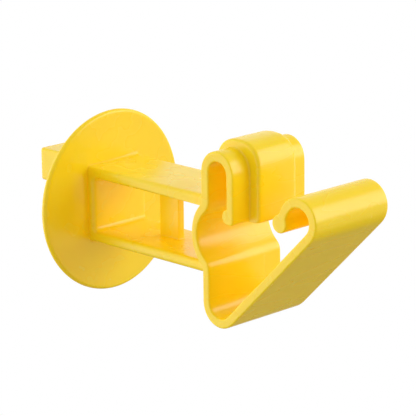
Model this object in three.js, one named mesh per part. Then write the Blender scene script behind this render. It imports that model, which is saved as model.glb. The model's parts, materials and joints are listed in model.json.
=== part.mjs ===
// Post-clip fence insulator: a wire keeper behind a round shield, a two-rail
// stand-off arm, and a sprung clip that wraps round a studded T-section post.
//
// +X runs along the arm from the wire towards the post's stem, +Y runs along
// the post, and +Z runs across the post's flange, from the latch's flexing bend
// to the closed channel. The origin is the middle of the post seat, the flat
// face that the back of the flange lies on. All sizes are in millimetres.

import * as THREE from 'three';

// Clip, measured from the post seat in X and from the arm's axis in Z.
const clipLength = 26;
const slotWidth = 6.2;
const slotTopHeight = 20.6;
const innerLegThickness = 2.5;
const outerLegThickness = 2.2;
const crownThickness = 2.6;
const legFootHeight = 8.6;
const outerLegFootHeight = 7.2;
const channelLipRadius = 2;
const lipSetBack = 0.4;
const lipCornerRadius = 0.6;
const saddleLength = 14;
const saddleSideThickness = 3.2;
const saddleTopThickness = 2.1;
const saddleFlushThickness = 0.4;

// Pocket for the post's studs.
const pocketHalfHeight = 7.6;
const pocketCentreHeight = 1;
const pocketOuterRadius = 10.1;
const pocketOuterCentreX = 4.1;
const pocketInnerRadius = 9.05;
const pocketInnerCentreX = 4.75;

// Back wall and the bend that lets the latch flex.
const backWallThickness = 2.2;
const bendCentreX = 3.65;
const bendCentreHeight = -15.9;
const bendInnerRadius = 3.65;
const bendOuterRadius = 5.85;
const fixedBendSweep = THREE.MathUtils.degToRad(108);

// Latch, laid out along its own length from the bend's centre.
const latchAngle = THREE.MathUtils.degToRad(45);
const latchThickness = 2.4;
const latchInnerOffset = bendInnerRadius - 0.1;
const latchArmLength = 37;
const curlInnerRadius = 3.6;
const curlSweep = THREE.MathUtils.degToRad(200);
const latchLipRadius = 2.3;
const latchNeckLength = 3.9;

// Stand-off arm.
const railWidth = 19;
const railThickness = 2.9;
const railCentreHeight = 8.6;
const webLength = 7;
const webThickness = 2.2;
const webCentreX = -27.4;
const webCentreY = 1;

// Shield and the pad that the rails grow from.
const shieldRadius = 24.3;
const shieldCentreHeight = -0.6;
const shieldThickness = 1.8;
const shieldFrontX = -48.3;
const padThickness = 2.2;

// Wire keeper behind the shield: three hooks, the middle one facing back.
const hookThickness = 4.5;
const hookLength = 16.9;
const outerHookHeight = 8.8;
const outerHookCentreHeight = 7.8;
const middleHookHeight = 3.8;
const middleHookLength = 14.4;

// Height of the arm's axis over the origin, and the joint-line gap that
// separates a piece from a curved neighbour.
const seatToArmAxis = 11.5;
const seamGap = 0.06;
const arcSegments = 28;

const shieldBackX = shieldFrontX - shieldThickness;
const padFrontX = shieldFrontX + padThickness;
const crownCentreX = slotWidth / 2;
const crownInnerRadius = slotWidth / 2;
const crownCentreHeight = slotTopHeight - crownInnerRadius;
const crownOuterRadius = crownInnerRadius + crownThickness;
const crownOuterCentreX = (slotWidth + outerLegThickness - innerLegThickness) / 2;
const crownOuterHalfWidth = (slotWidth + outerLegThickness + innerLegThickness) / 2;
const lipFootHeight = outerLegFootHeight - channelLipRadius;
const pocketTop = pocketCentreHeight + pocketHalfHeight;
const pocketBottom = pocketCentreHeight - pocketHalfHeight;

const shadedYellow = 0xf3c51c;
const plainYellow = 0xfbd02a;
const litYellow = 0xfdd94a;

const insulator = new THREE.Group();
const standOff = new THREE.Group();
const latch = new THREE.Group();
standOff.position.z = seatToArmAxis;
latch.position.set(bendCentreX, 0, bendCentreHeight);
latch.rotation.y = -latchAngle;
standOff.add(latch);
insulator.add(standOff);

function addPiece(group, name, geometry, colour) {
  const material = new THREE.MeshStandardMaterial({ color: colour, roughness: 0.42, metalness: 0 });
  const piece = new THREE.Mesh(geometry, material);
  piece.name = name;
  group.add(piece);
  return piece;
}

// A box given by its two limits along each axis.
function block(x0, x1, y0, y1, z0, z1) {
  const geometry = new THREE.BoxGeometry(x1 - x0, y1 - y0, z1 - z0);
  geometry.translate((x0 + x1) / 2, (y0 + y1) / 2, (z0 + z1) / 2);
  return geometry;
}

// An outline drawn in X and Z, extruded along Y and centred on Y = 0.
function slab(outline, length) {
  const geometry = new THREE.ExtrudeGeometry(outline, {
    depth: length,
    bevelEnabled: false,
    curveSegments: arcSegments,
  });
  geometry.rotateX(Math.PI / 2);
  geometry.translate(0, length / 2, 0);
  return geometry;
}

// A sector of a ring between two radii and two angles, seen along +Y.
function ringSector(centreX, centreZ, innerRadius, outerRadius, startAngle, endAngle) {
  const outline = new THREE.Shape();
  outline.absarc(centreX, centreZ, outerRadius, startAngle, endAngle, false);
  outline.absarc(centreX, centreZ, innerRadius, endAngle, startAngle, true);
  outline.closePath();
  return outline;
}

// ---- shield -------------------------------------------------------------

function shieldDisc() {
  const rim = shieldThickness / 2;
  const profile = new THREE.Path();
  profile.moveTo(0, shieldBackX);
  profile.lineTo(shieldRadius - rim, shieldBackX);
  profile.absarc(shieldRadius - rim, shieldBackX + rim, rim, -Math.PI / 2, Math.PI / 2, false);
  profile.lineTo(0, shieldFrontX);
  const geometry = new THREE.LatheGeometry(profile.getPoints(8), 96);
  geometry.rotateZ(-Math.PI / 2);
  geometry.translate(0, 0, shieldCentreHeight);
  return geometry;
}

function addShield() {
  const halfWidth = railWidth / 2;
  const halfHeight = railCentreHeight + railThickness / 2;
  addPiece(standOff, 'shield_disc', shieldDisc(), plainYellow);
  const pad = block(shieldFrontX, padFrontX, -halfWidth, halfWidth, -halfHeight, halfHeight);
  addPiece(standOff, 'arm_root_pad', pad, shadedYellow);
}

// ---- stand-off arm ------------------------------------------------------

// The upper rail ends on the channel's inner leg and on the round back of the
// stud pocket, so its end follows the pocket's outer radius.
function upperRail() {
  const bottom = railCentreHeight - railThickness / 2;
  const top = railCentreHeight + railThickness / 2;
  const radius = pocketOuterRadius + seamGap;
  const startAngle = Math.PI - Math.asin((bottom - pocketCentreHeight) / radius);
  const endAngle = Math.PI - Math.asin(pocketHalfHeight / radius);
  const outline = new THREE.Shape();
  outline.moveTo(padFrontX, top);
  outline.lineTo(padFrontX, bottom);
  outline.absarc(pocketOuterCentreX, pocketCentreHeight, radius, startAngle, endAngle, true);
  outline.lineTo(-innerLegThickness - seamGap, pocketTop);
  outline.lineTo(-innerLegThickness - seamGap, top);
  outline.closePath();
  return slab(outline, railWidth);
}

function addArm() {
  const halfWidth = railWidth / 2;
  const halfThickness = railThickness / 2;
  addPiece(standOff, 'upper_rail', upperRail(), litYellow);
  const lowerRail = block(
    padFrontX, -backWallThickness,
    -halfWidth, halfWidth,
    -railCentreHeight - halfThickness, -railCentreHeight + halfThickness,
  );
  addPiece(standOff, 'lower_rail', lowerRail, litYellow);
  const web = block(
    webCentreX - webLength / 2, webCentreX + webLength / 2,
    webCentreY - webThickness / 2, webCentreY + webThickness / 2,
    -railCentreHeight + halfThickness, railCentreHeight - halfThickness,
  );
  addPiece(standOff, 'rail_web', web, shadedYellow);
}

// ---- wire keeper --------------------------------------------------------

// One hook: a stem standing on the shield's back and a head across its end.
// side is -1 for a stem on the -Y side, and +1 for one on the +Y side.
function addHook(name, centreHeight, height, length, side) {
  const halfWidth = railWidth / 2;
  const tipX = shieldBackX - length;
  const bottom = centreHeight - height / 2;
  const top = centreHeight + height / 2;
  const stemOuter = side * halfWidth;
  const stemInner = side * (halfWidth - hookThickness);
  const headFar = -side * halfWidth;
  const stem = block(
    tipX, shieldBackX,
    Math.min(stemOuter, stemInner), Math.max(stemOuter, stemInner),
    bottom, top,
  );
  const head = block(
    tipX, tipX + hookThickness,
    Math.min(stemInner, headFar), Math.max(stemInner, headFar),
    bottom, top,
  );
  addPiece(standOff, `${name}_stem`, stem, plainYellow);
  addPiece(standOff, `${name}_head`, head, litYellow);
}

function addWireKeeper() {
  addHook('upper_hook', outerHookCentreHeight, outerHookHeight, hookLength, -1);
  addHook('middle_hook', 0, middleHookHeight, middleHookLength, 1);
  addHook('lower_hook', -outerHookCentreHeight, outerHookHeight, hookLength, -1);
}

// ---- channel ------------------------------------------------------------

// The saddle thickens the channel's middle: over the crown and down the outer
// leg. Its outer face is a half ellipse that runs out almost flush on the inner leg.
function channelSaddle() {
  const legX = slotWidth + outerLegThickness + seamGap;
  const outerX = slotWidth + outerLegThickness + saddleSideThickness;
  const innerX = -innerLegThickness - saddleFlushThickness;
  const outline = new THREE.Shape();
  outline.moveTo(legX, lipFootHeight);
  outline.lineTo(outerX, lipFootHeight);
  outline.absellipse(
    (outerX + innerX) / 2, crownCentreHeight,
    (outerX - innerX) / 2, crownOuterRadius + saddleTopThickness,
    0, Math.PI, false,
  );
  outline.absellipse(
    crownOuterCentreX, crownCentreHeight,
    crownOuterHalfWidth + seamGap, crownOuterRadius + seamGap,
    Math.PI, 0, true,
  );
  outline.closePath();
  return slab(outline, saddleLength);
}

// The rounded bead along the foot of the outer leg, which stands into the slot.
function channelLip() {
  const outerX = slotWidth + outerLegThickness;
  const outline = new THREE.Shape();
  outline.moveTo(outerX, outerLegFootHeight);
  outline.lineTo(slotWidth, outerLegFootHeight);
  outline.absarc(
    slotWidth + lipSetBack, outerLegFootHeight, channelLipRadius,
    Math.PI, Math.PI * 1.5, false,
  );
  outline.lineTo(outerX - lipCornerRadius, lipFootHeight);
  outline.absarc(
    outerX - lipCornerRadius, lipFootHeight + lipCornerRadius, lipCornerRadius,
    -Math.PI / 2, 0, false,
  );
  outline.closePath();
  return slab(outline, clipLength);
}

function addChannel() {
  const halfLength = clipLength / 2;
  const innerLeg = block(-innerLegThickness, 0, -halfLength, halfLength, legFootHeight, crownCentreHeight);
  addPiece(standOff, 'channel_inner_leg', innerLeg, litYellow);
  const crown = new THREE.Shape();
  crown.moveTo(slotWidth + outerLegThickness, crownCentreHeight);
  crown.absellipse(
    crownOuterCentreX, crownCentreHeight, crownOuterHalfWidth, crownOuterRadius,
    0, Math.PI, false,
  );
  crown.absarc(crownCentreX, crownCentreHeight, crownInnerRadius, Math.PI, 0, true);
  crown.closePath();
  addPiece(standOff, 'channel_crown', slab(crown, clipLength), litYellow);
  const outerLeg = block(
    slotWidth, slotWidth + outerLegThickness,
    -halfLength, halfLength,
    outerLegFootHeight, crownCentreHeight,
  );
  addPiece(standOff, 'channel_outer_leg', outerLeg, plainYellow);
  addPiece(standOff, 'channel_lip', channelLip(), plainYellow);
  addPiece(standOff, 'channel_saddle', channelSaddle(), plainYellow);
}

// ---- stud pocket, back wall and bend ------------------------------------

function studPocket() {
  const outerAngle = Math.asin(pocketHalfHeight / pocketOuterRadius);
  const innerAngle = Math.asin(pocketHalfHeight / pocketInnerRadius);
  const outline = new THREE.Shape();
  outline.absarc(
    pocketOuterCentreX, pocketCentreHeight, pocketOuterRadius,
    Math.PI - outerAngle, Math.PI + outerAngle, false,
  );
  outline.absarc(
    pocketInnerCentreX, pocketCentreHeight, pocketInnerRadius,
    Math.PI + innerAngle, Math.PI - innerAngle, true,
  );
  outline.closePath();
  return slab(outline, clipLength);
}

function addBackAndBend() {
  const halfLength = clipLength / 2;
  addPiece(standOff, 'stud_pocket', studPocket(), litYellow);
  const backWall = block(-backWallThickness, 0, -halfLength, halfLength, bendCentreHeight, pocketBottom);
  addPiece(standOff, 'back_wall', backWall, plainYellow);
  const bend = ringSector(
    bendCentreX, bendCentreHeight, bendInnerRadius, bendOuterRadius,
    Math.PI, Math.PI + fixedBendSweep,
  );
  addPiece(standOff, 'flex_bend', slab(bend, clipLength), shadedYellow);
}

// ---- latch --------------------------------------------------------------

// In the latch's own frame X runs along the arm and +Z is the side that faces
// the post. The arm's two faces are tangent to the bend.
function addLatch() {
  const halfLength = clipLength / 2;
  const innerZ = -latchInnerOffset;
  const outerZ = innerZ - latchThickness;
  const arm = block(0, latchArmLength, -halfLength, halfLength, outerZ, innerZ);
  addPiece(latch, 'latch_arm', arm, plainYellow);

  const curlCentreZ = innerZ + curlInnerRadius;
  const curlOuterRadius = curlInnerRadius + latchThickness;
  const curlEnd = -Math.PI / 2 + curlSweep;
  const curl = ringSector(
    latchArmLength, curlCentreZ, curlInnerRadius, curlOuterRadius,
    -Math.PI / 2, curlEnd,
  );
  addPiece(latch, 'latch_curl', slab(curl, clipLength), litYellow);

  const beadDistance = (curlInnerRadius + curlOuterRadius) / 2;
  const neckX = latchArmLength + beadDistance * Math.cos(curlEnd);
  const neckZ = curlCentreZ + beadDistance * Math.sin(curlEnd);
  const runX = -Math.sin(curlEnd);
  const runZ = Math.cos(curlEnd);
  const half = latchThickness / 2;
  const sideX = Math.cos(curlEnd) * half;
  const sideZ = Math.sin(curlEnd) * half;
  const beadX = neckX + runX * latchNeckLength;
  const beadZ = neckZ + runZ * latchNeckLength;
  const opening = Math.asin(half / latchLipRadius);
  const outline = new THREE.Shape();
  outline.moveTo(neckX + sideX, neckZ + sideZ);
  outline.absarc(
    beadX, beadZ, latchLipRadius,
    curlEnd - Math.PI / 2 + opening, curlEnd - Math.PI / 2 - opening + Math.PI * 2, false,
  );
  outline.lineTo(neckX - sideX, neckZ - sideZ);
  outline.closePath();
  addPiece(latch, 'latch_lip', slab(outline, clipLength), litYellow);
}

addShield();
addArm();
addWireKeeper();
addChannel();
addBackAndBend();
addLatch();

export default insulator;
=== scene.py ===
import json
import math
import bpy
import numpy as np
from mathutils import Matrix, Vector


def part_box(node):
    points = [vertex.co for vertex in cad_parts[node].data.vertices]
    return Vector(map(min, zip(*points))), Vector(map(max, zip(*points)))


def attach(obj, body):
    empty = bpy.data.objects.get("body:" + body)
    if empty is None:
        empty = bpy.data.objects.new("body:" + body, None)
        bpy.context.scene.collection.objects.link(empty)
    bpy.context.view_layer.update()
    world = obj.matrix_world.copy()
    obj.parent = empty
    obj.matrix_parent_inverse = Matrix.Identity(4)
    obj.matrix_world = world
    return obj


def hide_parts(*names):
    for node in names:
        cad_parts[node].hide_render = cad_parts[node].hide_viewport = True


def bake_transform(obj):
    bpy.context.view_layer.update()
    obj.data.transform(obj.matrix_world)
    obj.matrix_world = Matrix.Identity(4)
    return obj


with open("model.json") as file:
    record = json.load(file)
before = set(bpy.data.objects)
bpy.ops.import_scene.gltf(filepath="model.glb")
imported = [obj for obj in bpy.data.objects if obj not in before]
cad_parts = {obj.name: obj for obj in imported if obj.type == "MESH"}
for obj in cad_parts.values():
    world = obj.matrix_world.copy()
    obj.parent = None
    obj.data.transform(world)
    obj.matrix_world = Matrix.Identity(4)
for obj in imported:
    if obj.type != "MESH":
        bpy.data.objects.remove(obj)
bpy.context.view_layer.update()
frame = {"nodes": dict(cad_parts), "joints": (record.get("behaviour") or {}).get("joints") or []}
print("loaded", len(frame["nodes"]), "CAD nodes")

mm = 0.001
fineStep = 0.1  # millimetres between the points of a finely drawn line


def span(node):
    # lowest and highest corner of a CAD node, in millimetres
    low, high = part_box(node)
    return np.array(low) / mm, np.array(high) / mm


# ways to look along a stack of rings: where a ring's (right, up) and the stack's own length go
def alongY(right, up, length):
    return np.stack([right, length, up], -1)


def alongX(right, up, length):
    return np.stack([length, -right, up], -1)


def alongZ(right, up, length):
    return np.stack([-right, up, length], -1)


# A piece is a stack of closed rings with one point count, joined by quads and capped at both ends.
# Each ring runs anticlockwise as seen from the stack's first end, so every face points outwards.
def stackPiece(name, points):
    rows, columns = points.shape[:2]
    ring = np.arange(columns)
    row = np.arange(rows - 1)[:, None] * columns
    following = np.roll(ring, -1)
    quads = np.stack([row + ring, row + columns + ring, row + columns + following, row + following], -1)
    lastRing = (rows - 1) * columns + ring[::-1]
    faces = quads.reshape(-1, 4).tolist() + [ring.tolist(), lastRing.tolist()]
    mesh = bpy.data.meshes.new(name)
    mesh.from_pydata((points.reshape(-1, 3) * mm).tolist(), [], faces)
    smooth = np.ones(len(faces), bool)
    smooth[-2:] = False  # the caps are flat
    mesh.polygons.foreach_set("use_smooth", smooth)
    mesh.validate()
    piece = bpy.data.objects.new(name, mesh)
    bpy.context.scene.collection.objects.link(piece)
    return piece


# Rows of a table resampled at equal distances along its first two columns.
def evenly(rows, step):
    gaps = np.hypot(*np.diff(rows[:, :2], axis=0).T)
    length = np.concatenate([[0], np.cumsum(gaps)])
    at = np.linspace(0, length[-1], int(length[-1] / step) + 1)
    return np.stack([np.interp(at, length, column) for column in rows.T], 1)


# Each row becomes the mean of its neighbours, weighted by a bell curve of that spread in rows, which
# turns a corner into a bend. The bell is cut off at its tail, four spreads out.
# The ends of an open run are carried straight on first, so they stay where they are.
def soften(rows, spread, closed=False, tailSpreads=4):
    pad = int(tailSpreads * spread) + 1
    steps = np.arange(1, pad + 1)[:, None]
    if closed:
        head, tail = rows[-pad:], rows[:pad]
    else:
        head = rows[0] + (rows[0] - rows[1]) * steps[::-1]
        tail = rows[-1] + (rows[-1] - rows[-2]) * steps
    bell = np.exp(-0.5 * (np.arange(-pad, pad + 1) / spread) ** 2)
    padded = np.concatenate([head, rows, tail])
    return np.stack([np.convolve(column, bell / bell.sum(), "valid") for column in padded.T], 1)


# Unit normals on the right-hand side of a run of points: its direction turned a quarter clockwise.
def rightNormals(points, closed=False):
    if closed:
        run = np.roll(points, -1, 0) - np.roll(points, 1, 0)
    else:
        run = np.gradient(points, axis=0)
    run = run / np.linalg.norm(run, axis=1)[:, None]
    return np.stack([run[:, 1], -run[:, 0]], 1)


# A straight run from one point to another, or an arc about a centre: (radiusA cos, radiusB sin).
def straight(start, end, step=fineStep):
    count = max(2, int(np.hypot(end[0] - start[0], end[1] - start[1]) / step) + 1)
    return np.linspace(start, end, count)


def arc(centre, radiusA, radiusB, startDegrees, endDegrees, step=fineStep):
    turn = np.radians([startDegrees, endDegrees])
    count = max(4, int(abs(turn[1] - turn[0]) * max(radiusA, radiusB) / step) + 1)
    angle = np.linspace(turn[0], turn[1], count)
    return np.stack([centre[0] + radiusA * np.cos(angle), centre[1] + radiusB * np.sin(angle)], 1)


# How far a concave fillet stands off its wall at a distance from its foot: a quarter circle.
def filletRise(distance, radius):
    inside = np.clip(radius - distance, 0, radius)
    return radius - np.sqrt(radius**2 - inside**2)


# Rows of a rounded rim: (how far in from the end, how far the outline shrinks), a quarter circle
# that starts with one row a little further in on the flat end face.
def rimRows(radius, count=7, flat=0.15):
    angle = np.radians(np.linspace(0, 90, count))
    shrink = radius * (1 - np.sin(angle))
    depth = radius * (1 - np.cos(angle))
    return np.concatenate([[[0, radius + flat]], np.stack([depth, shrink], 1)])


# Both ends' rims and the rows between them, a step apart: (place along the stack, shrink).
def rowsAcross(low, high, rim, step):
    ends = rimRows(rim)
    middle = np.linspace(low + rim, high - rim, max(2, int((high - low) / step)))[1:-1]
    head = np.stack([low + ends[:, 0], ends[:, 1]], 1)
    tail = np.stack([high - ends[::-1, 0], ends[::-1, 1]], 1)
    return np.concatenate([head, np.stack([middle, np.zeros_like(middle)], 1), tail])


# An outline carried across its width: each row is the outline shrunk along its own normals, apart
# from the points that are held, and then moved towards a fuller outline by the row's share.
def outlinePiece(name, outline, rows, place, held=None, fuller=None, share=None):
    normals = rightNormals(outline, closed=True)
    if held is not None:
        normals[held] = 0
    flat = outline[None] - normals[None] * rows[:, 1, None, None]
    if fuller is not None:
        flat = flat + (fuller - outline)[None] * share[:, None, None]
    length = np.repeat(rows[:, 0, None], len(outline), 1)
    return stackPiece(name, place(flat[..., 0], flat[..., 1], length))


# Rounded rectangles stacked along a length: each station has its own sides and corner radius, and
# a ring is four quarter circles, anticlockwise from the lower right corner.
def platePiece(name, length, left, right, bottom, top, corner, place, cornerSteps=9):
    values = np.broadcast_arrays(length, left, right, bottom, top, corner)
    length, left, right, bottom, top, corner = [value[:, None] for value in values]
    angle = np.radians(np.linspace(0, 90, cornerSteps))
    angle = np.concatenate([angle - np.pi / 2, angle, angle + np.pi / 2, angle + np.pi])[None]
    onRight = np.repeat([1, 1, 0, 0], cornerSteps)[None]
    onTop = np.repeat([0, 1, 1, 0], cornerSteps)[None]
    across = np.where(onRight, right - corner, left + corner) + corner * np.cos(angle)
    up = np.where(onTop, top - corner, bottom + corner) + corner * np.sin(angle)
    return stackPiece(name, place(across, up, length + 0 * across))


def hexColour(code):
    # an sRGB hex colour as linear red, green, blue and alpha
    parts = np.array([int(code[i:i + 2], 16) for i in (1, 3, 5)]) / 255
    linear = np.where(parts <= 0.04045, parts / 12.92, ((parts + 0.055) / 1.055) ** 2.4)
    return (*linear.tolist(), 1)


def addNode(tree, kind, settings=(), links=()):
    # a setting's key is a socket's name or number, or a property; a link gives the feeding output
    node = tree.nodes.new(kind)
    for key, value in dict(settings).items():
        if isinstance(key, int) or key in node.inputs:
            node.inputs[key].default_value = value
        else:
            setattr(node, key, value)
    for key, output in dict(links).items():
        tree.links.new(output, node.inputs[key])
    return node


polyethylene = {
    "colour": "#FEDE1C",
    "flowColour": "#FDD712",  # a shade deeper, along the ripple
    "roughness": (0.20, 0.32),
    "ior": 1.51,
    "glow": 0.6,  # share of the light that goes under the skin
    "glowDepth": 1.2,  # millimetres
    "glowColour": (1.0, 0.8, 0.2),  # how far red, green and blue reach inside
    "paintedGlowColour": "#FFC400",  # painted glow: a faint even emission all over that lightens the shaded sides and hollows
    "paintedGlowStrength": 0.13,
    "rippleSize": 9.0,  # millimetres from one sink mark to the next
    "rippleDepth": 0.05,
    "rippleRange": (0.3, 0.7),  # the ripple's own values at the smoothest and the roughest skin
    "evenFlow": (1.0, 1.0, 1.0),
    "drawnFlow": (1.0, 0.25, 1.0),  # the clip's ripples are four times as long across its width
    "grainSize": 0.5,  # coarser than the real spark grain, which is too fine to show
    "grainDepth": 0.006,
}


# Injection-moulded polyethylene: a satin skin off a sparked steel mould, with the slow ripple of
# sink marks in its reflections, light that goes a millimetre or so under the skin, and a painted
# glow: a faint even emission all over that lightens its shaded sides and hollows.
def mouldedPolyethylene(name, flow):
    look = polyethylene
    material = bpy.data.materials.new(name)
    material.use_nodes = True
    tree = material.node_tree
    tree.nodes.clear()
    place = addNode(tree, "ShaderNodeTexCoord").outputs["Object"]
    along = addNode(tree, "ShaderNodeMapping", {"Scale": flow}, {"Vector": place})
    ripple = addNode(
        tree, "ShaderNodeTexNoise",
        {"Scale": 1 / (look["rippleSize"] * mm), "Detail": 2.0, "Roughness": 0.5},
        {"Vector": along.outputs["Vector"]},
    )
    grain = addNode(
        tree, "ShaderNodeTexNoise",
        {"Scale": 1 / (look["grainSize"] * mm), "Detail": 3.0, "Roughness": 0.6},
        {"Vector": place},
    )
    tint = addNode(
        tree, "ShaderNodeMix",
        {"data_type": "RGBA", 6: hexColour(look["colour"]), 7: hexColour(look["flowColour"])},
        {0: ripple.outputs["Fac"]},
    )
    satin = addNode(
        tree, "ShaderNodeMapRange",
        {
            "From Min": look["rippleRange"][0],
            "From Max": look["rippleRange"][1],
            "To Min": look["roughness"][0],
            "To Max": look["roughness"][1],
        },
        {"Value": ripple.outputs["Fac"]},
    )
    sink = addNode(
        tree, "ShaderNodeBump", {"Strength": 1.0, "Distance": look["rippleDepth"] * mm},
        {"Height": ripple.outputs["Fac"]},
    )
    spark = addNode(
        tree, "ShaderNodeBump", {"Strength": 1.0, "Distance": look["grainDepth"] * mm},
        {"Height": grain.outputs["Fac"], "Normal": sink.outputs["Normal"]},
    )
    skin = addNode(
        tree, "ShaderNodeBsdfPrincipled",
        {
            "IOR": look["ior"],
            "Subsurface Weight": look["glow"],
            "Subsurface Radius": look["glowColour"],
            "Subsurface Scale": look["glowDepth"] * mm,
            # the emission is painted glow, no lamp: it lightens the shade all over the part
            "Emission Color": hexColour(look["paintedGlowColour"]),
            "Emission Strength": look["paintedGlowStrength"],
        },
        {
            "Base Color": tint.outputs[2],
            "Roughness": satin.outputs["Result"],
            "Normal": spark.outputs["Normal"],
        },
    )
    addNode(tree, "ShaderNodeOutputMaterial", {}, {"Surface": skin.outputs["BSDF"]})
    return material


plainMoulding = mouldedPolyethylene("mouldedPolyethylene", polyethylene["evenFlow"])
drawnMoulding = mouldedPolyethylene("mouldedPolyethyleneDrawn", polyethylene["drawnFlow"])
print("made the materials")


def finishPiece(piece, material, slot, *nodes):
    # the piece's material, its slot in the record, which is not used, and the CAD nodes that it stands
    # for
    piece.data.materials.append(material)
    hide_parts(*nodes)
    print("made", piece.name, len(piece.data.polygons), "faces")


# places that several pieces share, in millimetres
upperLow, upperHigh = span("upper_rail")
lowerLow, lowerHigh = span("lower_rail")
padLow, padHigh = span("arm_root_pad")
discLow, discHigh = span("shield_disc")
innerLow, innerHigh = span("channel_inner_leg")
outerLow, outerHigh = span("channel_outer_leg")
crownLow, crownHigh = span("channel_crown")
saddleHigh = span("channel_saddle")[1]
lipLow = span("channel_lip")[0]
pocketLow, pocketHigh = span("stud_pocket")
wallLow, wallHigh = span("back_wall")
flexJoint = frame["joints"][0]
bendCentre = np.array([flexJoint["pos_m"][0], flexJoint["pos_m"][2]]) / mm

# from here on each piece has its own values, in millimetres and degrees
clip = {
    "crownThickness": 2.6,
    "pocketWall": 1.7,
    "cornerBend": 0.75,  # how softly the strip turns its corners
    "edgeSoftness": 0.3,  # and how softly its outline turns at the foot and the bead
    "rim": 0.4,  # radius of the edges at both ends of the clip
    "lipRadius": 1.95,
    "footCorner": 0.8,
    "step": 0.3,  # from one point of the outline to the next
    "saddleSquareness": 2.6,  # 2 is an ellipse, more is boxier
    "saddleProud": 0.5,  # how far the saddle stands off the inner leg
    "saddleFade": 5.91,  # how far below the crown's centre that runs out
    "saddleNear": (0.5, 0.9),  # radius of its foot and of its edge on the -Y side
    "saddleFar": (1.4, 1.8),  # and on the +Y side
    "climbSteps": 7,  # rows round each of those radii
    "levelRows": 6,  # and along each level stretch beside them
}
latch = {
    "angle": 45,  # the arm's slope
    "armLength": 37.0,
    "curlRadius": 4.8,
    "curlSweep": 200,
    "neckLength": 3.9,  # from the curl to the middle of the bead on its tip
    "beadRadius": 2.3,
    "thickness": 2.4,
    "hingeTilt": -30,  # the way across the bend from the wall to the latch
    "hingeSpan": (-3.4, 2.8),  # the stretch of it that flexes, from the hinge's axis
}


# The line down the middle of the bent strip, with the strip's half thickness as a third column:
# the outer leg, a half ellipse over the crown, the inner leg, an arc through the pocket's ends and
# its crest, the wall, the bend about the hinge, the latch's arm, its curl and its neck.
def stripMidline():
    legX = (outerLow[0] + outerHigh[0]) / 2
    innerX = (innerLow[0] + innerHigh[0]) / 2
    wallX = (wallLow[0] + wallHigh[0]) / 2
    crownZ = crownLow[2]
    crownRise = crownHigh[2] - crownZ - clip["crownThickness"] / 2
    legStart = lipLow[2] + 2 * clip["lipRadius"]
    pocketMiddle = (pocketLow[2] + pocketHigh[2]) / 2
    halfChord = (pocketHigh[2] - pocketLow[2]) / 2
    depth = innerX - (pocketLow[0] + clip["pocketWall"] / 2)
    pocketRadius = (halfChord**2 + depth**2) / (2 * depth)
    pocketTurn = np.degrees(np.arcsin(halfChord / pocketRadius))
    bendRadius = bendCentre[0] - wallX
    tilt = np.radians(latch["angle"])
    armRun = np.array([np.cos(tilt), np.sin(tilt)])
    armSide = np.array([np.sin(tilt), -np.cos(tilt)])
    armStart = bendCentre + armSide * bendRadius
    armEnd = armStart + armRun * latch["armLength"]
    curlCentre = armEnd - armSide * latch["curlRadius"]
    curlStart = latch["angle"] - 90
    curlEnd = curlStart + latch["curlSweep"]
    neckStart = arc(curlCentre, latch["curlRadius"], latch["curlRadius"], curlStart, curlEnd)[-1]
    neckRun = np.array([-np.sin(np.radians(curlEnd)), np.cos(np.radians(curlEnd))])
    legHalf = (outerHigh[0] - outerLow[0]) / 2
    innerHalf = (innerHigh[0] - innerLow[0]) / 2
    wallHalf = (wallHigh[0] - wallLow[0]) / 2
    crownHalf = clip["crownThickness"] / 2
    latchHalf = latch["thickness"] / 2
    runs = [
        (straight((legX, legStart), (legX, crownZ)), (legHalf, legHalf)),
        (
            arc(((legX + innerX) / 2, crownZ), (legX - innerX) / 2, crownRise, 0, 180),
            (legHalf, crownHalf, innerHalf),
        ),
        (straight((innerX, crownZ), (innerX, pocketHigh[2])), (innerHalf, innerHalf)),
        (
            arc(
                (innerX - depth + pocketRadius, pocketMiddle), pocketRadius, pocketRadius,
                180 - pocketTurn, 180 + pocketTurn,
            ),
            (innerHalf, clip["pocketWall"] / 2, wallHalf),
        ),
        (straight((wallX, pocketLow[2]), (wallX, bendCentre[1])), (wallHalf, wallHalf)),
        (
            arc(bendCentre, bendRadius, bendRadius, 180, 270 + latch["angle"]),
            (wallHalf, latchHalf, latchHalf),
        ),
        (straight(armStart, armEnd), (latchHalf, latchHalf)),
        (
            arc(curlCentre, latch["curlRadius"], latch["curlRadius"], curlStart, curlEnd),
            (latchHalf, latchHalf),
        ),
        (straight(neckStart, neckStart + neckRun * latch["neckLength"]), (latchHalf, latchHalf)),
    ]
    rows = []
    for points, halves in runs:
        half = np.interp(np.linspace(0, 1, len(points)), np.linspace(0, 1, len(halves)), halves)
        rows.append(np.column_stack([points, half]))
    fine = soften(evenly(np.concatenate(rows), fineStep), clip["cornerBend"] / fineStep)
    return evenly(fine, clip["step"])


midline = stripMidline()
midNormals = rightNormals(midline[:, :2])


# The saddle's own outline, point for point beside the strip's outer side: straight up beside the
# outer leg, a superellipse |x/a|^n + |z/b|^n = 1 over the crown, then fading into the inner leg.
def saddleSide(points):
    crownZ = crownLow[2]
    right = saddleHigh[0]
    left = innerLow[0] - clip["saddleProud"]
    centre = np.array([(left + right) / 2, crownZ])
    halfWidth = (right - left) / 2
    rise = saddleHigh[2] - crownZ
    power = clip["saddleSquareness"]
    run = points - centre
    reach = np.linalg.norm(run, axis=1)[:, None]
    aim = run / reach
    size = (np.abs(aim[:, :1]) / halfWidth) ** power + (np.abs(aim[:, 1:]) / rise) ** power
    overCrown = centre + aim * size ** (-1 / power)
    below = np.clip((crownZ - points[:, 1]) / clip["saddleFade"], 0, 1)
    fade = 1 - below * below * (3 - 2 * below)
    onOuterLeg = points[:, 0] > centre[0]
    legX = np.where(onOuterLeg, right, points[:, 0] - clip["saddleProud"] * fade)
    onLeg = np.column_stack([legX, points[:, 1]])
    return np.where(points[:, 1:] > crownZ, overCrown, onLeg)


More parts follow.
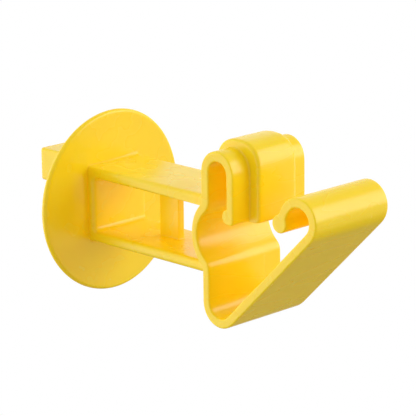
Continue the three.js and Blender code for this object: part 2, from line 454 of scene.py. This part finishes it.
# The saddle's rise on one side of the clip, from the clip's end to its middle: rows of (distance
# from the middle, shrink, share of the rise). After the clip's own rim it is level, then a concave
# quarter circle, a short wall and a convex quarter circle, and level again.
def saddleClimb(proud, fillet, edge):
    foot = saddleHigh[1] + fillet
    quarter = np.radians(np.linspace(0, 90, clip["climbSteps"]))
    concave = np.stack([foot - fillet * np.sin(quarter), fillet * (1 - np.cos(quarter))], 1)
    convex = np.stack([
        saddleHigh[1] - edge * (1 - np.cos(quarter)),
        proud - edge * (1 - np.sin(quarter)),
    ], 1)
    plain = np.linspace(crownHigh[1] - clip["rim"], foot, clip["levelRows"])[1:-1]
    top = np.linspace(convex[-1, 0], 0, clip["levelRows"])[1:]
    side = np.concatenate([
        np.column_stack([plain, np.zeros_like(plain)]), concave, convex,
        np.column_stack([top, np.full_like(top, proud)]),
    ])
    ends = rimRows(clip["rim"])
    rim = np.column_stack([crownHigh[1] - ends[:, 0], ends[:, 1], np.zeros(len(ends))])
    climb = np.column_stack([side[:, 0], np.zeros(len(side)), side[:, 1] / proud])
    return np.concatenate([rim, climb])


# The clip with its latch, one bent strip from the outer leg's foot to the bead on the curl's tip.
# A rounded lip closes the foot, and across the middle the saddle's fuller outline takes over. Each
# end of the outline is a half circle or a lip, and the sides are the midline moved out by its half
# thickness, or by sqrt(bead^2 - d^2) at a distance d from the bead's middle.
def makeClip():
    lipRadius = clip["lipRadius"]
    corner = clip["footCorner"]
    step = clip["step"]
    footZ = lipLow[2]
    lipCentre = (lipLow[0] + lipRadius, footZ + lipRadius)
    lipTop = np.degrees(np.arccos((outerLow[0] - lipCentre[0]) / lipRadius))
    lip = arc(lipCentre, lipRadius, lipRadius, lipTop, 270, step)
    flat = straight((lipCentre[0], footZ), (outerHigh[0] - corner, footZ), step)[1:-1]
    footCorner = arc((outerHigh[0] - corner, footZ + corner), corner, corner, -90, 0, step)[:-1]
    bead = latch["beadRadius"]
    tip = midline[-1, :2]
    reach = np.linalg.norm(midline[:, :2] - tip, axis=1)
    swell = np.sqrt(np.clip(bead**2 - reach**2, 0, None))
    half = np.maximum(midline[:, 2], swell)[:, None]
    outer = midline[:, :2] + midNormals * half
    inner = midline[::-1, :2] - (midNormals * half)[::-1]
    heading = np.degrees(np.arctan2(midNormals[-1, 1], midNormals[-1, 0]))
    nose = arc(tip, bead, bead, heading, heading + 180, step)[1:-1]
    legFoot = straight((outerHigh[0], footZ + corner), outer[0], step)[1:-1]
    passedCrown = np.arange(len(midline)) > np.argmax(midline[:, 1])
    wallStart = int(np.argmax(passedCrown & (midline[:, 1] < innerLow[2])))
    saddled = np.concatenate([legFoot, outer[:wallStart]])
    proud = saddleHigh[0] - outerHigh[0]
    spread = np.linspace(0, 1, len(flat))[:, None]
    outline = np.concatenate([inner, lip, flat, footCorner, saddled, outer[wallStart:], nose])
    fuller = np.concatenate([
        inner, lip, flat + spread * [proud, 0], footCorner + [proud, 0],
        saddleSide(saddled), outer[wallStart:], nose,
    ])
    softness = clip["edgeSoftness"] / step
    outline = soften(outline, softness, closed=True)
    fuller = soften(fuller, softness, closed=True)
    near = saddleClimb(proud, *clip["saddleNear"])
    far = saddleClimb(proud, *clip["saddleFar"])
    rows = np.concatenate([near * [-1, 1, 1], far[-2::-1]])
    piece = outlinePiece("post_clip", outline, rows[:, :2], alongY, fuller=fuller, share=rows[:, 2])
    finishPiece(
        piece, drawnMoulding, "moulding",
        "channel_inner_leg", "channel_crown", "channel_outer_leg", "channel_lip", "channel_saddle",
        "stud_pocket", "back_wall", "flex_bend", "latch_arm", "latch_curl", "latch_lip",
    )
    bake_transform(piece)


makeClip()


# A closed outline through corners given as (x, y, radius), each cut by an arc of its own radius
# that touches both of its sides. They run anticlockwise; an inside corner turns the other way.
def roundedCorners(corners, steps=9):
    corners = np.array(corners, float)
    points = corners[:, :2]
    runs = []
    for index, radius in enumerate(corners[:, 2]):
        corner = points[index]
        before = points[index - 1] - corner
        after = points[(index + 1) % len(points)] - corner
        before = before / np.linalg.norm(before)
        after = after / np.linalg.norm(after)
        between = before + after
        halfAngle = np.arccos(np.clip(before @ after, -1, 1)) / 2
        centre = corner + between / np.linalg.norm(between) * radius / np.sin(halfAngle)
        start = corner + before * radius / np.tan(halfAngle) - centre
        end = corner + after * radius / np.tan(halfAngle) - centre
        startAngle = np.arctan2(start[1], start[0])
        sweep = np.arctan2(start[0] * end[1] - start[1] * end[0], start @ end)
        angle = startAngle + np.linspace(0, sweep, steps)
        runs.append(centre + radius * np.stack([np.cos(angle), np.sin(angle)], 1))
    return np.concatenate(runs)


arm = {
    "edge": 1.15,  # radius along both sides of the rails
    "padFillet": 1.2,  # radius where the rails leave the pad
    "clipFillet": 0.6,  # where they meet the clip
    "discFillet": 1.0,  # and where the pad meets the shield
    "tightCorner": 0.05,  # radius of a corner that is as good as sharp
    "sunk": 0.6,  # how far a piece's end is buried in what it joins
    "intoLeg": 0.4,  # the same for the upper rail, in the channel's thinner leg
    "rowSpacing": 1.5,
    "webCorner": 0.35,
    "webFillet": 0.5,
}


# The arm's frame: both rails and the pad they grow from as one outline across the arm, with
# fillets inside the pad's corners, along the shield and where the rails meet the clip. Its sides
# are rounded off, but the ends that are buried in the shield and the clip keep their full outline.
def makeFrame():
    fillet = arm["clipFillet"]
    tight = arm["tightCorner"]
    foot = fillet + tight
    root = padLow[0] - arm["sunk"]
    rootX = padLow[0] - tight
    rootFillet = arm["discFillet"]
    rootFoot = rootFillet + tight
    wallX = wallLow[0] + tight
    wallEnd = wallX + arm["sunk"]
    legX = innerLow[0] + tight
    legEnd = innerLow[0] + arm["intoLeg"]
    outline = roundedCorners([
        (root, lowerLow[2] - rootFoot, tight),
        (rootX, lowerLow[2] - rootFoot, tight),
        (rootX, lowerLow[2], rootFillet),
        (wallX, lowerLow[2], fillet),
        (wallX, lowerLow[2] - foot, tight),
        (wallEnd, lowerLow[2] - foot, tight),
        (wallEnd, lowerHigh[2] + foot, tight),
        (wallX, lowerHigh[2] + foot, tight),
        (wallX, lowerHigh[2], fillet),
        (padHigh[0], lowerHigh[2], arm["padFillet"]),
        (padHigh[0], upperLow[2], arm["padFillet"]),
        (legEnd, upperLow[2], tight),
        (legEnd, upperHigh[2] + foot, tight),
        (legX, upperHigh[2] + foot, tight),
        (legX, upperHigh[2], fillet),
        (rootX, upperHigh[2], rootFillet),
        (rootX, upperHigh[2] + rootFoot, tight),
        (root, upperHigh[2] + rootFoot, tight),
    ])
    buried = outline[:, 0] < padLow[0]
    atWall = (outline[:, 1] < lowerHigh[2] + 2 * foot) & (outline[:, 0] > wallX - tight)
    atLeg = (outline[:, 1] > upperLow[2] - tight) & (outline[:, 0] > legX - tight)
    rows = rowsAcross(upperLow[1], upperHigh[1], arm["edge"], arm["rowSpacing"])
    piece = outlinePiece("arm_frame", outline, rows, alongY, held=buried | atWall | atLeg)
    finishPiece(piece, plainMoulding, "moulding", "arm_root_pad", "upper_rail", "lower_rail")
    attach(piece, "moulding")


# Distances along a stretch, close together where a fillet of that radius curves at either end.
def filletStations(low, high, radius, sunk, curveSteps=9, middleSteps=12):
    curve = radius * (1 - np.cos(np.radians(np.linspace(0, 90, curveSteps))))
    middle = np.linspace(low + radius, high - radius, middleSteps)[1:-1]
    return np.concatenate([[low - sunk], low + curve, middle, high - curve[::-1], [high + sunk]])


# The web: a short upright plate between the rails, with a concave skirt at its foot and head.
def makeWeb():
    low, high = span("rail_web")
    height = filletStations(low[2], high[2], arm["webFillet"], arm["sunk"])
    grow = filletRise(np.clip(height - low[2], 0, None), arm["webFillet"])
    grow = grow + filletRise(np.clip(high[2] - height, 0, None), arm["webFillet"])
    piece = platePiece(
        "arm_web", height, -high[0] - grow, -low[0] + grow, low[1] - grow, high[1] + grow,
        arm["webCorner"] + grow, alongZ,
    )
    finishPiece(piece, plainMoulding, "moulding", "rail_web")
    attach(piece, "moulding")


makeFrame()
makeWeb()

shield = {
    "rings": 24,  # rows from the middle of each face to its rim
    "segments": 160,
    "rimSteps": 13,
    "rimShare": 0.5,  # the rim's radius as a share of the thickness, 0.5 being full round
    "hub": 1.0,  # radius of the small flat disc at the middle of each face
    "warp": 0.4,  # millimetres that its top and bottom bow forward and its sides back, from cooling
    "lean": 0.4,  # and that its +Y side leans back
}


# The shield: a flat profile with a full round rim, turned about the arm's axis, and then bowed by
# x + warp (z^2 - y^2) / R^2 - lean y / R, where y and z are measured from its centre.
def makeShield():
    centreY = (discLow[1] + discHigh[1]) / 2
    centreZ = (discLow[2] + discHigh[2]) / 2
    radius = (discHigh[2] - discLow[2]) / 2
    rim = (discHigh[0] - discLow[0]) * shield["rimShare"]
    flat = np.linspace(shield["hub"], radius - rim, shield["rings"])
    turn = np.radians(np.linspace(-90, 90, shield["rimSteps"]))[1:-1]
    middle = (discHigh[0] + discLow[0]) / 2
    profile = np.concatenate([
        np.stack([np.full_like(flat, discLow[0]), flat], 1),
        np.stack([middle + rim * np.sin(turn), radius - rim + rim * np.cos(turn)], 1),
        np.stack([np.full_like(flat, discHigh[0]), flat[::-1]], 1),
    ])
    around = np.linspace(0, 2 * np.pi, shield["segments"], endpoint=False)[None]
    reach = profile[:, 1, None]
    across = reach * np.cos(around)
    up = reach * np.sin(around)
    bow = shield["warp"] * (up**2 - across**2) / radius**2 + shield["lean"] * across / radius
    piece = stackPiece("shield", alongX(across - centreY, up + centreZ, profile[:, 0, None] + bow))
    finishPiece(piece, plainMoulding, "moulding", "shield_disc")
    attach(piece, "moulding")


makeShield()

hook = {
    "cornerRadius": 0.9,  # the outside corners of its L
    "innerRadius": 1.2,  # the inside corner that the wire lies in
    "rootRadius": 0.3,
    "edge": 0.7,  # radius along its upper and lower edges
    "sunk": 0.6,  # how far its root is buried in the shield
    "rowSpacing": 1.5,
}


# A wire hook: an L-shaped outline, stem and head in one, carried up its height with rounded edges.
# Its head points to +Y where side is -1 and to -Y where it is 1.
def makeHook(name, stem, head, side):
    stemLow, stemHigh = span(stem)
    headLow, headHigh = span(head)
    root = stemHigh[0] + hook["sunk"]
    tip = stemLow[0]
    face = headHigh[0]
    far = headHigh[1] if side < 0 else headLow[1]
    stemOuter = stemLow[1] if side < 0 else stemHigh[1]
    stemInner = stemHigh[1] if side < 0 else stemLow[1]
    # x and y turned into the ring's own right and up
    corners = [
        (-root, stemOuter, hook["rootRadius"]),
        (-tip, stemOuter, hook["cornerRadius"]),
        (-tip, far, hook["cornerRadius"]),
        (-face, far, hook["cornerRadius"]),
        (-face, stemInner, hook["innerRadius"]),
        (-root, stemInner, hook["rootRadius"]),
    ]
    if side > 0:
        corners.reverse()
    rows = rowsAcross(stemLow[2], stemHigh[2], hook["edge"], hook["rowSpacing"])
    piece = outlinePiece(name, roundedCorners(corners), rows, alongZ)
    finishPiece(piece, plainMoulding, "moulding", stem, head)
    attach(piece, "moulding")


makeHook("wire_hook_upper", "upper_hook_stem", "upper_hook_head", -1)
makeHook("wire_hook_middle", "middle_hook_stem", "middle_hook_head", 1)
makeHook("wire_hook_lower", "lower_hook_stem", "lower_hook_head", -1)

view = {
    "target": (-9.9, -3.2, 16.2),
    "distance": 553.8,
    "azimuth": 45.25,  # degrees, with 0 looking along +Y
    "elevation": 15.09,
    "roll": -0.60,
    "lens": 190.4,
    "sensorWidth": 36,
    "clipStart": 10,
}


# The camera looks at the target from an azimuth and elevation, then rolls about its own line of sight.
def makeCamera():
    azimuth, elevation, roll = np.radians([view["azimuth"], view["elevation"], view["roll"]])
    level = np.array([np.sin(azimuth), -np.cos(azimuth), 0])
    towards = level * np.cos(elevation) + np.array([0, 0, np.sin(elevation)])
    right = np.array([np.cos(azimuth), np.sin(azimuth), 0])
    up = np.cross(towards, right)
    rolledRight = right * np.cos(roll) + up * np.sin(roll)
    rolledUp = up * np.cos(roll) - right * np.sin(roll)
    where = (np.array(view["target"]) + towards * view["distance"]) * mm
    turn = np.column_stack([rolledRight, rolledUp, towards])
    lens = bpy.data.cameras.new("camera")
    lens.lens = view["lens"]
    lens.sensor_width = view["sensorWidth"]
    lens.clip_start = view["clipStart"] * mm
    camera = bpy.data.objects.new("camera", lens)
    camera.matrix_world = Matrix.Translation(Vector(where)) @ Matrix(turn.tolist()).to_4x4()
    bpy.context.scene.collection.objects.link(camera)
    bpy.context.scene.camera = camera


# A change of the surround has three numbers: where it starts, where it is complete and the strength
# that it leads to. The first two are a direction's height, or its nearness to a panel's middle, and
# 1 is straight up or at that middle.
studio = {
    "skyColour": "#FFFFFF",
    "below": (-0.42, -0.62, 0.15),  # it darkens downwards
    "above": (0.15, 0.6, 0.68),  # and dims upwards
    "rightPanel": (0.3, 0.85, 0.75),  # a dim panel towards +X +Y
    "frontPanel": (0.25, 0.9, 0.45),  # a darker one towards +X -Y
    "leftPanel": (0.45, 0.97, 1.8),  # and a bright one towards -X -Y
    "floorColour": "#A4A4A4",
    "floorRoughness": 0.9,
    "floorDrop": 1.2,  # metres below the part
    "floorSize": 2.4,
    "key": 4.1,  # watts
    "keyPlace": (0.62, 0.60, 0.36),  # metres from the part
    "keySize": 0.7,
}


# A white surround that darkens below and dims above, with two darker panels and a bright one for
# the sides to reflect, a plain pale floor well below the part, and one soft key from +X +Y.
# Each change is a straight ramp, and the surround's strength is the product of them all.
def makeStudio():
    scene = bpy.context.scene
    scene.view_settings.view_transform = "Standard"
    world = bpy.data.worlds.new("studio")
    world.use_nodes = True
    sky = world.node_tree
    direction = addNode(sky, "ShaderNodeTexCoord").outputs["Generated"]
    height = addNode(sky, "ShaderNodeSeparateXYZ", {}, {0: direction}).outputs["Z"]
    diagonal = math.sqrt(0.5)
    right, left, front = [
        addNode(
            sky, "ShaderNodeVectorMath", {"operation": "DOT_PRODUCT", 1: axis}, {0: direction},
        ).outputs["Value"]
        for axis in ((diagonal, diagonal, 0), (-diagonal, -diagonal, 0), (diagonal, -diagonal, 0))
    ]
    strength = None
    for source, change in (
        (height, "below"),
        (height, "above"),
        (right, "rightPanel"),
        (left, "leftPanel"),
        (front, "frontPanel"),
    ):
        start, end, last = studio[change]
        ramp = addNode(
            sky, "ShaderNodeMapRange",
            {"From Min": start, "From Max": end, "To Min": 1.0, "To Max": last}, {"Value": source},
        ).outputs["Result"]
        if strength is None:
            strength = ramp
        else:
            strength = addNode(
                sky, "ShaderNodeMath", {"operation": "MULTIPLY"}, {0: strength, 1: ramp},
            ).outputs["Value"]
    background = sky.nodes["Background"]
    background.inputs["Color"].default_value = hexColour(studio["skyColour"])
    sky.links.new(strength, background.inputs["Strength"])
    scene.world = world
    half = studio["floorSize"] / 2
    mesh = bpy.data.meshes.new("floor")
    corners = [(-half, -half), (half, -half), (half, half), (-half, half)]
    mesh.from_pydata([(x, y, -studio["floorDrop"]) for x, y in corners], [], [(0, 1, 2, 3)])
    floor = bpy.data.objects.new("floor", mesh)
    paint = bpy.data.materials.new("paleFloor")
    paint.use_nodes = True
    surface = paint.node_tree.nodes["Principled BSDF"]
    surface.inputs["Base Color"].default_value = hexColour(studio["floorColour"])
    surface.inputs["Roughness"].default_value = studio["floorRoughness"]
    mesh.materials.append(paint)
    scene.collection.objects.link(floor)
    lamp = bpy.data.lights.new("key", "AREA")
    lamp.energy = studio["key"]
    lamp.size = studio["keySize"]
    key = bpy.data.objects.new("key", lamp)
    where = Vector(studio["keyPlace"])
    key.matrix_world = Matrix.Translation(where) @ where.to_track_quat("Z", "Y").to_matrix().to_4x4()
    scene.collection.objects.link(key)


makeCamera()
makeStudio()
print("camera and studio ready")
